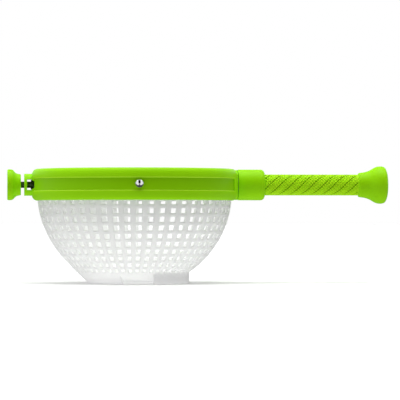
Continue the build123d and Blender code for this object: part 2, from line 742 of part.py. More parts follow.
def make_knob_cap():
    return rod_x(CAP_X, END_X, CAP_R)


def make_knob_screw():
    return round_head_screw(TUBE_END_X - KNOB_SCREW_IN, CAP_X - ROUND_HEAD_HIGH - SLIM)


def make_tube_plug():
    return sleeve_x(TUBE_END_X - PLUG_LONG, TUBE_END_X, SHANK_R, TUBE_BORE_R)


NODES = {
    "bowl": make_bowl,
    "frame_ring": make_frame_ring,
    "lid_ring": make_lid_ring,
    "lid_panel": make_lid_panel,
    "panel_screws": make_panel_screws,
    "hinge_pin": make_hinge_pin,
    "catch_plate": make_catch_plate,
    "latch_button": make_latch_button,
    "latch_disc": make_latch_disc,
    "latch_spring": make_latch_spring,
    "pivot_pin": make_pivot_pin,
    "pivot_knob": make_pivot_knob,
    "pivot_bush": make_pivot_bush,
    "pivot_clip": make_pivot_clip,
    "pivot_pad": make_pivot_pad,
    "drive_hub": make_drive_hub,
    "hub_screws": make_hub_screws,
    "collar": make_collar,
    "collar_bush": make_collar_bush,
    "collar_clip": make_collar_clip,
    "clutch_cup": make_clutch_cup,
    "clutch_cam": make_clutch_cam,
    "clutch_rollers": make_clutch_rollers,
    "clutch_washer": make_clutch_washer,
    "spiral_shaft": make_spiral_shaft,
    "shaft_stop": make_shaft_stop,
    "stop_screw": make_stop_screw,
    "drive_nut": make_drive_nut,
    "grip_tube": make_grip_tube,
    "grip_sleeve": make_grip_sleeve,
    "end_knob": make_end_knob,
    "knob_cap": make_knob_cap,
    "knob_screw": make_knob_screw,
    "tube_plug": make_tube_plug,
}

os.makedirs("parts", exist_ok=True)
for node, make in NODES.items():
    made = make()
    group = made if isinstance(made, list) else [made]
    placed = [shape.moved(Location((-MIDDLE_X, 0, 0))) for shape in group]
    whole = placed[0] if len(placed) == 1 else Compound(children=placed)
    export_step(whole, f"parts/{node}.step", write_pcurves=node != "bowl")
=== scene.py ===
# %% [markdown]
# # A hand-pumped salad spinner
# This lesson dresses a finished CAD model for a studio picture. The CAD model fixes every size and
# joint, so each piece made here sits where its CAD twin sits and moves with the same body.
# We start by loading that frame, whose part boxes place the two axes below.

# %% Load the frame
import bpy
import math
from mathutils import Matrix, Vector


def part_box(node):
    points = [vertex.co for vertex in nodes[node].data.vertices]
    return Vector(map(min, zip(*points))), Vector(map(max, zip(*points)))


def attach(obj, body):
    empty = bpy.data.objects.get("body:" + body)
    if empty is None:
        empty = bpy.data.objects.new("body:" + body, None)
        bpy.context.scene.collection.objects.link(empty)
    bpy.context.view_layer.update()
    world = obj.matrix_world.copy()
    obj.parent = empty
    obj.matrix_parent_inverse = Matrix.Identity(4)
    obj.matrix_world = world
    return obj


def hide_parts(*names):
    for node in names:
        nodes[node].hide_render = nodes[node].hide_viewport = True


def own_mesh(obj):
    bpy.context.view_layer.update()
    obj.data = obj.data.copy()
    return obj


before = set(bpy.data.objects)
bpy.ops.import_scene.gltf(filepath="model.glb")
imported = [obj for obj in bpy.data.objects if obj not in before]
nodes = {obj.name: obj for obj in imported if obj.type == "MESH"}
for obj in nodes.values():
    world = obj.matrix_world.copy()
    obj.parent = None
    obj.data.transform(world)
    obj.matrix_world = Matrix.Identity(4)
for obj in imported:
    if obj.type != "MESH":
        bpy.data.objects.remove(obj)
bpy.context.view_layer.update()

# %% [markdown]
# Everything turns about one of two lines. The bowl, ring and lid are round about an upright line,
# and the handle and pivot are round about the level spin axis. The places of both lines come from
# the CAD boxes. Sizes below are in millimetres from the bowl's middle, as on a maker's drawing.

# %% Two axes to turn about
MM = 0.001
ring_low, ring_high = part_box("lid_ring")
pin_low, pin_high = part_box("pivot_pin")
BOWL_X = (ring_low.x + ring_high.x) / 2
SPIN_Z = (pin_low.z + pin_high.z) / 2
UPRIGHT = (Vector((BOWL_X, 0, 0)), Vector((0, 0, 1)), Vector((1, 0, 0)))
LEVEL = (Vector((BOWL_X, 0, SPIN_Z)), Vector((1, 0, 0)), Vector((0, 0, 1)))
FORWARD = (Vector((BOWL_X, 0, SPIN_Z)), Vector((0, -1, 0)), Vector((0, 0, 1)))
AXIS = SPIN_Z / MM
print("bowl axis at x", round(BOWL_X / MM, 2), "and spin axis at z", round(AXIS, 2))

# %% [markdown]
# Most pieces of this spinner are turned shapes, so the main tool is a lathe. One vertex is extruded
# along half of the cross-section, and the spin operator sweeps it round the axis. A curve with a
# Screw modifier would do too, but spin leaves a plain mesh that edit mode can work on at once.

# %% The lathe
MERGE = 0.01


def only(piece):
    """Select one object and make it active."""
    bpy.ops.object.select_all(action="DESELECT")
    piece.select_set(True)
    bpy.context.view_layer.objects.active = piece


def draw(name, places):
    """Extrude one vertex from place to place. The new piece stays in edit mode, all selected."""
    bpy.ops.object.select_all(action="DESELECT")
    bpy.ops.mesh.primitive_plane_add(size=MM, location=(0, 0, 0))
    piece = bpy.context.object
    piece.name = piece.data.name = name
    bpy.ops.object.mode_set(mode="EDIT")
    bpy.ops.mesh.select_mode(type="VERT")
    bpy.ops.mesh.select_all(action="SELECT")
    bpy.ops.mesh.merge(type="CENTER")
    bpy.ops.transform.translate(value=places[0])
    for here, there in zip(places, places[1:]):
        bpy.ops.mesh.extrude_region_move(TRANSFORM_OT_translate={"value": there - here})
    bpy.ops.mesh.select_all(action="SELECT")
    return piece


def tidy(capped=False):
    """Merge doubled points, close open ends and turn all faces outwards, in edit mode."""
    bpy.ops.mesh.select_all(action="SELECT")
    bpy.ops.mesh.remove_doubles(threshold=MERGE * MM)
    bpy.ops.mesh.delete_loose()
    if capped:
        bpy.ops.mesh.select_all(action="DESELECT")
        bpy.ops.mesh.select_non_manifold()
        bpy.ops.mesh.fill_holes(sides=0)
    bpy.ops.mesh.select_all(action="SELECT")
    bpy.ops.mesh.normals_make_consistent(inside=False)


def turn(name, outline, line, start=0.0, arc=360.0, steps=128, closed=True, capped=False):
    """Turn an outline of (along the axis, radius) about a line, and cap its ends if asked."""
    origin, axis, out = line
    out = out.copy()
    out.rotate(Matrix.Rotation(math.radians(start), 3, axis))
    places = [origin + axis * along * MM + out * radius * MM for along, radius in outline]
    piece = draw(name, places + places[:1] if closed else places)
    bpy.ops.mesh.spin(steps=steps, angle=-math.radians(arc), center=origin, axis=axis)
    tidy(capped)
    bpy.ops.object.mode_set(mode="OBJECT")
    return piece


print("lathe ready")

# %% [markdown]
# A lathe needs outlines. Corners that are plainly round on the real piece are drawn as arcs. Long
# bends are drawn as a Bezier curve through a few points, because its handles keep them even.

# %% Outlines
def rounded(points, rounds, parts=6):
    """Replace some corners of an outline, given by index, with arcs of a radius."""
    outline = []
    for i, here in enumerate(points):
        if i not in rounds:
            outline.append(here)
            continue
        corner = Vector(here)
        to_last = (Vector(points[i - 1]) - corner).normalized()
        to_next = (Vector(points[(i + 1) % len(points)]) - corner).normalized()
        half = to_last.angle(to_next) / 2
        middle = corner + (to_last + to_next).normalized() * rounds[i] / math.sin(half)
        first = corner + to_last * rounds[i] / math.tan(half) - middle
        last = corner + to_next * rounds[i] / math.tan(half) - middle
        for step in range(parts + 1):
            spoke = first.lerp(last, step / parts).normalized() * rounds[i]
            outline.append(tuple(middle + spoke))
    return outline


def smooth_line(points, parts=6):
    """Points along a Bezier curve that passes through the given ones, as (along, radius)."""
    bpy.ops.object.select_all(action="DESELECT")
    bpy.ops.curve.primitive_bezier_curve_add(location=(0, 0, 0))
    line = bpy.context.object
    line.data.resolution_u = parts
    spline = line.data.splines[0]
    spline.bezier_points.add(len(points) - len(spline.bezier_points))
    for knot, (along, radius) in zip(spline.bezier_points, points):
        knot.co = (along, radius, 0)
        knot.handle_left_type = knot.handle_right_type = "AUTO"
    bpy.ops.object.convert(target="MESH")
    outline = [(v.co.x, v.co.y) for v in line.data.vertices]
    bpy.data.objects.remove(line)
    return outline


print("outline tools ready")

# %% [markdown]
# After the lathe, a piece is worked on by hand. Small edge rounds come from a Bevel modifier, because
# real moulded edges are never sharp and their thin highlights show it. Each finished piece is tied to
# the CAD body that it moves with.

# %% Bench tools
def pick_faces(piece, wanted):
    """Go into edit mode with only the faces selected that a test wants, and count them."""
    only(piece)
    bpy.ops.object.mode_set(mode="EDIT")
    bpy.ops.mesh.select_mode(type="FACE")
    bpy.ops.mesh.select_all(action="DESELECT")
    bpy.ops.object.mode_set(mode="OBJECT")
    for face in piece.data.polygons:
        face.select = wanted(face)
    count = sum(face.select for face in piece.data.polygons)
    bpy.ops.object.mode_set(mode="EDIT")
    return count


def apply_modifier(piece, kind, **settings):
    """Add a modifier with its settings and apply it."""
    only(piece)
    modifier = piece.modifiers.new(kind.lower(), kind)
    for key, value in settings.items():
        setattr(modifier, key, value)
    bpy.ops.object.modifier_apply(modifier=modifier.name)


def soften(piece, width=0.5, parts=2, angle=35.0):
    """Round the sharp edges and shade the rest smoothly."""
    apply_modifier(piece, "BEVEL", width=width * MM, segments=parts, limit_method="ANGLE",
                   angle_limit=math.radians(angle), miter_outer="MITER_ARC")
    bpy.ops.object.shade_smooth_by_angle(angle=math.radians(angle))


def join(name, *shells):
    """Make one piece of several closed shells."""
    bpy.ops.object.select_all(action="DESELECT")
    for shell in shells:
        shell.select_set(True)
    bpy.context.view_layer.objects.active = shells[0]
    bpy.ops.object.join()
    shells[0].name = shells[0].data.name = name
    return shells[0]


def mark(piece, attribute, wanted):
    """Give each face 1 or 0 in an attribute, by a test, for a finish to read."""
    layer = piece.data.attributes.new(attribute, "FLOAT", "FACE")
    for face in piece.data.polygons:
        layer.data[face.index].value = float(wanted(face))


def place(piece, body, slot, *stands_for):
    """Tie a finished piece to its body and the CAD nodes that it stands for. The slot, meant for its
    finish, is not used.
    """
    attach(piece, body)
    if stands_for:
        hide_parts(*stands_for)
    print(piece.name, len(piece.data.polygons), "faces")


print("bench tools ready")

# %% [markdown]
# The green plastic is a moulded lime with a satin skin. A real moulding is never one flat colour: the
# pigment drifts a little over the piece, and a fine grain breaks up the gloss. Both come from noise
# on Object coordinates, so the pattern stays put when a piece moves. The white plastic lets light in,
# so it has subsurface scattering.

# %% Finishes
TONE_SPAN = (0.3, 0.7)
GLOSS_SPREAD = 0.06
GRAIN_DEEP = 0.1


def finish(name, dark, light, rough, grain=700.0, bump=0.05, drift=14.0, **shader):
    """A material whose colour drifts between two tones, with a fine grain in gloss and relief."""
    material = bpy.data.materials.new(name)
    material.use_nodes = True
    tree = material.node_tree
    surface = tree.nodes["Principled BSDF"]
    where = tree.nodes.new("ShaderNodeTexCoord")
    cloud = tree.nodes.new("ShaderNodeTexNoise")
    cloud.inputs["Scale"].default_value = drift
    cloud.inputs["Detail"].default_value = 3.0
    tone = tree.nodes.new("ShaderNodeValToRGB")
    for stop, spot, colour in zip(tone.color_ramp.elements, TONE_SPAN, (dark, light)):
        stop.position = spot
        stop.color = (*colour, 1)
    fine = tree.nodes.new("ShaderNodeTexNoise")
    fine.inputs["Scale"].default_value = grain
    fine.inputs["Detail"].default_value = 4.0
    gloss = tree.nodes.new("ShaderNodeMapRange")
    gloss.inputs["To Min"].default_value = rough - GLOSS_SPREAD
    gloss.inputs["To Max"].default_value = rough + GLOSS_SPREAD
    relief = tree.nodes.new("ShaderNodeBump")
    relief.inputs["Strength"].default_value = bump
    relief.inputs["Distance"].default_value = GRAIN_DEEP * MM
    link = tree.links.new
    link(where.outputs["Object"], cloud.inputs["Vector"])
    link(where.outputs["Object"], fine.inputs["Vector"])
    link(cloud.outputs["Fac"], tone.inputs["Fac"])
    link(tone.outputs["Color"], surface.inputs["Base Color"])
    link(fine.outputs["Fac"], gloss.inputs["Value"])
    link(gloss.outputs["Result"], surface.inputs["Roughness"])
    link(fine.outputs["Fac"], relief.inputs["Height"])
    link(relief.outputs["Normal"], surface.inputs["Normal"])
    for socket, value in shader.items():
        surface.inputs[socket.replace("_", " ")].default_value = value
    return material


def srgb(*levels):
    """A colour in linear light from the levels that a screen shows, 0 to 255."""
    return [(v / 255 / 12.92 if v <= 10 else ((v / 255 + 0.055) / 1.055) ** 2.4) for v in levels]


SATIN = dict(Specular_IOR_Level=0.06)
MILKY = dict(Subsurface_Weight=1.0, Subsurface_Radius=(1.0, 1.0, 1.0))
lime = finish("lime_moulding", srgb(162, 239, 8), srgb(169, 246, 14), 0.42, **SATIN)
lime_grip = finish("lime_grip", srgb(192, 252, 28), srgb(198, 254, 36), 0.45, bump=0.1, **SATIN)
white = finish("white_moulding", srgb(249, 249, 249), srgb(252, 252, 252), 0.36,
               Subsurface_Scale=8 * MM, **MILKY)
panel_white = finish("panel_white", srgb(222, 222, 222), srgb(227, 227, 227), 0.4,
                     Subsurface_Scale=4 * MM, **MILKY)
steel = finish("turned_steel", srgb(92, 86, 80), srgb(120, 114, 106), 0.32, Metallic=1.0)
chrome = finish("bright_chrome", srgb(226, 228, 232), srgb(236, 238, 240), 0.1, bump=0.01,
                Metallic=1.0)
nylon = finish("natural_nylon", srgb(222, 216, 202), srgb(232, 227, 214), 0.42)
rubber = finish("dark_rubber", srgb(38, 39, 40), srgb(48, 49, 50), 0.62, bump=0.12)
FINISHES = {"lime_plastic": lime, "lime_grip": lime_grip, "white_plastic": white, "steel": steel,
            "bright_steel": chrome, "nylon": nylon, "dark_rubber": rubber}
print(len(FINISHES), "finishes")

# %% [markdown]
# Some places get painted light and shade: a painted shade in the grip's grooves, which hold shadow,
# and on the floor of the ring's recessed band, a painted highlight on the band's rounded edges, and a
# painted shade on the bowl's outer faces, so that its inside and holes look brighter, as if lit. Each
# of these is an attribute of the mesh, made with the piece, and the finish mixes in another colour
# where the attribute is high.

# %% Painted shade and highlights within a finish
def tint(material, attribute, colour, share, start=0.3, full=0.62):
    """Mix another colour, a painted shade or highlight, into a finish where an attribute of the mesh
    is high.
    """
    tree = material.node_tree
    surface = tree.nodes["Principled BSDF"]
    plain = surface.inputs["Base Color"].links[0].from_socket
    painted_light_mask = tree.nodes.new("ShaderNodeAttribute")
    painted_light_mask.attribute_name = attribute
    amount = tree.nodes.new("ShaderNodeMapRange")
    amount.inputs["From Min"].default_value = start
    amount.inputs["From Max"].default_value = full
    amount.inputs["To Max"].default_value = share
    blend = tree.nodes.new("ShaderNodeMix")
    blend.data_type = "RGBA"
    blend.inputs["B"].default_value = (*colour, 1)
    tree.links.new(painted_light_mask.outputs["Fac"], amount.inputs["Value"])
    tree.links.new(amount.outputs["Result"], blend.inputs["Factor"])
    tree.links.new(plain, blend.inputs["A"])
    tree.links.new(blend.outputs["Result"], surface.inputs["Base Color"])
    print(attribute, "tints", material.name)


# Painted shade in the grip's grooves, deepest in the six spirals.
tint(lime_grip, "groove", srgb(84, 136, 5), 0.9, start=0.5, full=0.95)
# Painted shade on the bowl's outer faces, so that its inside and holes look brighter, as if lit.
tint(white, "outside", srgb(245, 245, 245), 1.0)
# Painted shade on the floor of the ring's recessed band.
tint(lime, "band", srgb(149, 221, 6), 1.0)
# Painted highlight on the rounded edges of the band, on ring and lid.
tint(lime, "edge", srgb(206, 255, 60), 0.8)

# %% [markdown]
# Inner pieces keep their CAD shape, because little of them shows and the shape is already right. Each
# takes the finish of its slot in the record. The lid's panel lies flat under the top light, so its
# white is a step darker than the bowl's.

# %% Dress the CAD nodes
def dress(piece, material):
    """Give a piece one material."""
    piece.data.materials.clear()
    piece.data.materials.append(material)


for piece in nodes.values():
    slot_name = piece.data.materials[0].name.split(".")[0]
    if slot_name in FINISHES:
        dress(piece, FINISHES[slot_name])
dress(nodes["lid_panel"], panel_white)
print(len(nodes), "CAD nodes dressed")

# %% [markdown]
# The white bowl is a colander: 52 columns and 10 rows of square holes in a ball-shaped wall. Cutting
# over five hundred holes with Booleans would leave untidy faces. Instead the wall is turned with
# one face for each hole, those faces are deleted, and Solidify gives the lattice its thickness.

# %% Bowl wall
BALL_R = 106.8
BALL_Z = 100.0
WALL = 2.2
COLUMNS = 52
ROWS = 10
HOLE_PITCH = 9.9
FIRST_ROW = math.degrees(math.asin(11.3 / BALL_R))
ROW_STEP = math.degrees(HOLE_PITCH / BALL_R)
HALF_HOLE = math.degrees(3.15 / BALL_R)
RING_EDGE = 5.3
LAST_LINE = 60.0
FLAT_R = 44.7
FLAT_Z = 3.0
FLANGE_R = 109.9
FLANGE_Z = AXIS + 4.1
NECK_Z = BALL_Z + 2.5


def on_ball(down):
    """Height and radius on the bowl's outside, an angle below its widest line."""
    return BALL_Z - BALL_R * math.sin(math.radians(down)), BALL_R * math.cos(math.radians(down))


wall_line = [(FLANGE_Z, FLANGE_R), (FLANGE_Z, BALL_R), (NECK_Z, BALL_R)]
row_edges = []
for row in range(ROWS):
    centre = FIRST_ROW + ROW_STEP * row
    top_edge = max(centre - HALF_HOLE, RING_EDGE)
    row_edges.append((on_ball(top_edge), on_ball(centre + HALF_HOLE)))
    wall_line += row_edges[-1]
wall_line += [on_ball(LAST_LINE), (FLAT_Z, FLAT_R)]
half_step = 90.0 / COLUMNS
bowl = turn("bowl_shell", wall_line, UPRIGHT, start=half_step, steps=2 * COLUMNS, closed=False)


def is_hole(face):
    """True for a face that stands where a square hole goes: every other column, in each row."""
    x, y, z = (face.center - UPRIGHT[0]) / MM
    column = math.degrees(math.atan2(y, x)) / (2 * half_step) % 2
    return any(low[0] < z < top[0] for top, low in row_edges) and not 0.5 < column < 1.5


print(pick_faces(bowl, is_hole), "holes")
bpy.ops.mesh.delete(type="FACE")
bpy.ops.object.mode_set(mode="OBJECT")
apply_modifier(bowl, "SOLIDIFY", thickness=WALL * MM, offset=1.0, use_even_offset=True)
print(len(bowl.data.polygons), "faces in the lattice", round(bowl.dimensions.x / MM, 1), "mm wide")

# %% [markdown]
# The bottom is a flat disc with rings of round drain holes. Here a Boolean is the plain way: sixty
# cylinders that stand in rings are taken out of the disc in one cut.

# %% Bowl bottom
DRAIN_RINGS = 4
DRAIN_R = 2.7
LAP = 0.9


def drain_ring(radius, count):
    """Cylinders standing in a ring, to cut drain holes with."""
    made = []
    for i in range(count):
        turned = 2 * math.pi * i / count
        at = (BOWL_X + radius * MM * math.cos(turned), radius * MM * math.sin(turned), FLAT_Z * MM)
        bpy.ops.object.select_all(action="DESELECT")
        bpy.ops.mesh.primitive_cylinder_add(vertices=20, radius=DRAIN_R * MM, depth=4 * WALL * MM,
                                            location=at)
        bpy.ops.object.transform_apply(location=True)
        made.append(bpy.context.object)
    return made


def cut(piece, *cutters):
    """Take cutters out of a piece and remove them."""
    tool = join("cutter", *cutters) if len(cutters) > 1 else cutters[0]
    apply_modifier(piece, "BOOLEAN", operation="DIFFERENCE", solver="EXACT", object=tool)
    bpy.data.objects.remove(tool)


disc = [(FLAT_Z, 0), (FLAT_Z, FLAT_R - LAP / 2), (FLAT_Z + WALL / 2, FLAT_R + LAP),
        (FLAT_Z + WALL, FLAT_R + LAP), (FLAT_Z + WALL, 0)]
bottom = turn("bowl_bottom", disc, UPRIGHT, start=half_step, steps=2 * COLUMNS, closed=False)
drains = []
for ring_number in range(1, DRAIN_RINGS + 1):
    drains += drain_ring(ring_number * HOLE_PITCH, 6 * ring_number)
cut(bottom, *drains)
print(len(bottom.data.polygons), "faces in the bottom")

# %% [markdown]
# The bowl stands on two arcs: an upright foot on the right and a sloped skirt on the left. They could
# just be let into the wall, but light that scatters in the white plastic would show their hidden
# faces. So wall, bottom and feet become one closed skin by Boolean unions.

# %% Feet
FOOT_ARC = 144.0
FOOT_STEPS = 52
FOOT_R = (57, 60)
SKIRT_LOW_R = (48, 51)
SKIRT_TOP_R = (60.4, 58)


def wall_height(radius):
    """Height of the middle of the ball's wall at a distance from its axis."""
    return BALL_Z - math.sqrt((BALL_R - WALL / 2) ** 2 - radius ** 2)


upright = [(0, r) for r in FOOT_R] + [(wall_height(r), r) for r in reversed(FOOT_R)]
foot = turn("foot", upright, UPRIGHT, start=-FOOT_ARC / 2, arc=FOOT_ARC, steps=FOOT_STEPS,
            capped=True)
slope = [(0, r) for r in SKIRT_LOW_R]
slope += [(wall_height(r), r) for r in (*SKIRT_TOP_R, SKIRT_LOW_R[0])]
skirt = turn("skirt", slope, UPRIGHT, start=180 - FOOT_ARC / 2, arc=FOOT_ARC, steps=FOOT_STEPS,
             capped=True)
for piece in (bowl, bottom):
    soften(piece, width=0.45, parts=2, angle=50.0)
for piece in (foot, skirt):
    soften(piece, width=0.5, parts=2, angle=40.0)
for piece in (bottom, foot, skirt):
    apply_modifier(bowl, "BOOLEAN", operation="UNION", solver="EXACT", object=piece)
    bpy.data.objects.remove(piece)
print(len(bowl.data.polygons), "faces in the bowl with its feet")

# %% [markdown]
# Behind the latch button a small disc moves inwards when the button is pressed. The bowl's rim stands
# in its way, so one round cut leaves room for it.

# %% Room for the latch disc
DISC_ROOM_R = 3.7
DISC_ROOM = (-112.0, -102.4)
bpy.ops.object.select_all(action="DESELECT")
bpy.ops.mesh.primitive_cylinder_add(
    vertices=32, radius=DISC_ROOM_R * MM, depth=(DISC_ROOM[1] - DISC_ROOM[0]) * MM,
    location=(BOWL_X, sum(DISC_ROOM) / 2 * MM, AXIS * MM), rotation=(math.pi / 2, 0, 0))
bpy.ops.object.transform_apply(location=True, rotation=True)
cut(bowl, bpy.context.object)
only(bowl)
bpy.ops.object.shade_smooth_by_angle(angle=math.radians(50))
print(len(bowl.data.polygons), "faces after the cut")

# %% [markdown]
# On the left the lower wall and its foot run down in one nearly straight line. A push outwards that
# fades away with height, and round to the front and back, gives that line after the shells are one.
# The outer faces are marked for a painted shade, a greyer white, so that the inside and the holes look
# brighter, as if lit.

# %% Left flank and painted shade outside
FLANK_PUSH = 4.2
PUSH_RISE = (0, 7)
PUSH_FADE = (7, 23)
PUSH_R = (46, 54)
PUSH_SPREAD = (30, 72)
FACES_OUT = 0.5


def soft(value, low, high):
    """A soft step from 0 to 1 as a value goes from low to high."""
    share = min(max((value - low) / (high - low), 0), 1)
    return share * share * (3 - 2 * share)


for vertex in bowl.data.vertices:
    spoke = vertex.co - UPRIGHT[0]
    height = spoke.z / MM
    spoke.z = 0
    off_left = abs(180 - math.degrees(math.atan2(spoke.y, spoke.x)) % 360)
    push = soft(height, *PUSH_RISE) * (1 - soft(height, *PUSH_FADE))
    push *= soft(spoke.length / MM, *PUSH_R) * (1 - soft(off_left, *PUSH_SPREAD))
    vertex.co += spoke.normalized() * FLANK_PUSH * push * MM


def faces_out(face):
    """True for a face that looks away from the middle of the ball."""
    from_ball = (face.center - UPRIGHT[0] - Vector((0, 0, BALL_Z * MM))).normalized()
    return face.normal.dot(from_ball) > FACES_OUT


# Outer faces are marked for the white finish's painted shade.
mark(bowl, "outside", faces_out)
dress(bowl, white)
place(bowl, "basket", "white_plastic", "bowl")

# %% [markdown]
# The ring that carries the bowl has a shallow band round its middle, over one arc at the front and
# one at the back. The band and the plain stretches have their own cross-sections, which share all
# points but those of the band's step. Four sweeps are made here and joined in the next cell.

# %% Ring frame
RING_R = 113.0
FRAME_IN = 110.2
BAND_R = 111.8
BAND_HALF = 6.5
RING_HALF = 17.25
PART = AXIS + BAND_HALF
BAND_LOW = AXIS - BAND_HALF
LOW = AXIS - RING_HALF
TOP = AXIS + RING_HALF
LIP_R = 107.1
LIP_HIGH = 2.65
LEDGE = FLANGE_Z
LEDGE_R = 107.3
LEDGE_HIGH = 2.4
EDGE_R = RING_R - 5.6
STEP_ROUND = 1.1
SHOULDER = [(0.0, 0.0), (3.2, 0.05), (6.0, 0.55), (8.2, 1.5), (9.75, 2.9), (10.55, 4.6)]
BAND_STEP = rounded([(BAND_LOW, BAND_R), (BAND_LOW, RING_R), (LOW, RING_R)], {1: STEP_ROUND})[:-1]
PLAIN_STEP = [(PART, RING_R)]
STRETCHES = ((-170, -18, BAND_STEP), (-18, 18, PLAIN_STEP),
             (18, 162, BAND_STEP), (162, 190, PLAIN_STEP))
shoulder = smooth_line(SHOULDER)


def ring_line(outer):
    """Cross-section of the ring, as (height, radius), with its own outer points above the flank."""
    flank = [(BAND_LOW - drop, RING_R - inward) for drop, inward in shoulder if drop > STEP_ROUND]
    return [(PART, BAND_R), *outer, *flank, (LOW, EDGE_R), (LOW, LIP_R), (LOW + LIP_HIGH, LIP_R),
            (LOW + LIP_HIGH, FRAME_IN), (LEDGE - LEDGE_HIGH, FRAME_IN),
            (LEDGE - LEDGE_HIGH, LEDGE_R), (LEDGE, LEDGE_R), (LEDGE, FRAME_IN), (PART, FRAME_IN)]


shells = []
for start, end, outer in STRETCHES:
    sweep = end - start
    shells.append(turn("arc", ring_line(outer), UPRIGHT, start=start, arc=sweep, steps=sweep // 2))
print([len(s.data.polygons) for s in shells], "faces in the four arcs")

# %% [markdown]
# Joined arcs leave a small open rectangle at each end of the band, which fill_holes closes. The
# pivot yoke on the left is a short turned boss with a window through it for the steel pin. The ring
# has a recess behind the window, with slanted sides, so that the pin shows all the way in.

# %% Ring joined, with its yoke
YOKE_X = -121.0
YOKE_R = 12
YOKE_IN = -112.0
YOKE_END = 3.1
WINDOW = 5.75
WINDOW_IN = -111.0
ACROSS = 20
RECESS = (-115, -110)
RECESS_HALF = 3.75
ring = join("ring_frame", *shells)
bpy.ops.object.mode_set(mode="EDIT")
tidy(capped=True)
bpy.ops.object.mode_set(mode="OBJECT")


def window_block(x0, x1):
    """A box as wide and high as the window, between two places along the axis, to cut with."""
    low = Vector((x0, -ACROSS, AXIS - WINDOW))
    high = Vector((x1, ACROSS, AXIS + WINDOW))
    bpy.ops.object.select_all(action="DESELECT")
    bpy.ops.mesh.primitive_cube_add(size=1, location=(low + high) / 2 * MM + UPRIGHT[0])
    made = bpy.context.object
    made.scale = (high - low) * MM
    bpy.ops.object.transform_apply(location=True, scale=True)
    return made


yoke_line = [(YOKE_IN, 0), (YOKE_IN, YOKE_R), (YOKE_X, YOKE_R), (YOKE_X, 0)]
yoke = turn("yoke", yoke_line, LEVEL, steps=72, closed=False)
cut(yoke, window_block(YOKE_X + YOKE_END, WINDOW_IN))
recess = window_block(*RECESS)
pick_faces(recess, lambda face: face.normal.x > 0.9)
bpy.ops.transform.resize(value=(1, 1, RECESS_HALF / WINDOW),
                         center_override=(BOWL_X + RECESS[1] * MM, 0, SPIN_Z))
bpy.ops.object.mode_set(mode="OBJECT")
cut(ring, recess)
soften(ring, width=0.5, parts=3, angle=30.0)
soften(yoke, width=1.0, parts=3, angle=40.0)
print(len(ring.data.polygons), "faces in the ring,", len(yoke.data.polygons), "in the yoke")

# %% [markdown]
# On the right a flat round seat faces the collar. The lid carries its upper part and the ring its
# lower part, so one turned disc is bisected at the parting line and each side is kept once.

# %% Hub seat
SEAT_IN = 110.3
SEAT_GAP = 0.3


def hub_face(name, radius, height, side):
    """The part of a flat round seat that lies below a height (-1) or above it (1)."""
    seat = [(SEAT_IN, 0), (SEAT_IN, radius), (RING_R, radius), (RING_R, 0)]
    piece = turn(name, seat, LEVEL, steps=96, closed=False)
    bpy.ops.object.mode_set(mode="EDIT")
    bpy.ops.mesh.select_all(action="SELECT")
    bpy.ops.mesh.bisect(plane_co=(0, 0, height * MM), plane_no=(0, 0, -side), use_fill=True,
                        clear_outer=True)
    bpy.ops.object.mode_set(mode="OBJECT")
    soften(piece, width=0.4, parts=2)
    return piece


ring_seat = hub_face("ring_seat", 16.6, PART - SEAT_GAP, -1)
print(len(ring_seat.data.polygons), "faces in the ring's seat")

# %% [markdown]
# The lid swings on a pin at the back, through two ears on the ring and one on the lid. An ear is drawn
# like an outline on the lathe, but it is filled to a face and extruded straight along the pin.

# %% Hinge ears
HINGE_Y = 116.0
KNUCKLE_R = 3.2
EAR_WEB = -5.5
EAR_GAP = 0.05
EAR_PARTS = 12


def ear(name, x0, x1, side):
    """A hinge ear: a barrel with a web to the ring, below the parting line (-1) or above it (1)."""
    spots = [(EAR_WEB, EAR_GAP * side), (EAR_WEB, KNUCKLE_R * side)]
    for step in range(EAR_PARTS + 1):
        turned = math.radians(90 - 270 * step / EAR_PARTS)
        spots.append((KNUCKLE_R * math.cos(turned), KNUCKLE_R * math.sin(turned) * side))
    places = [UPRIGHT[0] + Vector((x0, HINGE_Y + y, PART + z)) * MM for y, z in spots]
    piece = draw(name, places)
    bpy.ops.mesh.edge_face_add()
    bpy.ops.mesh.extrude_region_move(TRANSFORM_OT_translate={"value": ((x1 - x0) * MM, 0, 0)})
    tidy()
    bpy.ops.object.mode_set(mode="OBJECT")
    soften(piece, width=0.3, parts=2, angle=40.0)
    return piece


ears = [ear("ear", 11.0, 17.0, -1), ear("ear", -17.0, -11.0, -1)]
ring = join("ring_frame", ring, yoke, ring_seat, *ears)
print(len(ring.data.polygons), "faces in the whole ring")

# %% [markdown]
# The floor of the band gets a painted shade, a darker lime, and its two rounded edges a painted
# highlight. Both places are found by their radius, height and normal, and marked for the finish.

# %% Painted shade and highlight of the band
BAND_REACH = 0.35
STEP_REACH = (-0.1, 1.2)
STEP_R = (111.9, 113.2)
STEP_LEAN = 0.25


def in_band(face):
    """True on the floor of the recessed band."""
    x, y, z = (face.center - UPRIGHT[0]) / MM
    return abs(math.hypot(x, y) - BAND_R) < BAND_REACH and BAND_LOW < z < PART


def on_step(face):
    """True on the two rounded edges of the band."""
    x, y, z = (face.center - UPRIGHT[0]) / MM
    near, far = STEP_REACH
    below = near < BAND_LOW - z < far and face.normal.z > STEP_LEAN
    above = near < z - PART < far and face.normal.z < -STEP_LEAN
    return (below or above) and STEP_R[0] < math.hypot(x, y) < STEP_R[1]


# Marks for the painted shade of the band's floor and the painted highlight of its rounded edges.
mark(ring, "band", in_band)
mark(ring, "edge", on_step)
dress(ring, lime)
place(ring, "basket", "lime_plastic", "frame_ring")

# %% [markdown]
# The lid's rim is the upper band of the ring. It is one turned section: the outer wall, a shelf that
# the perforated panel is screwed to, and a skirt that drops inside the bowl. Its hinge ear is
# at the back, between the two ears of the ring.

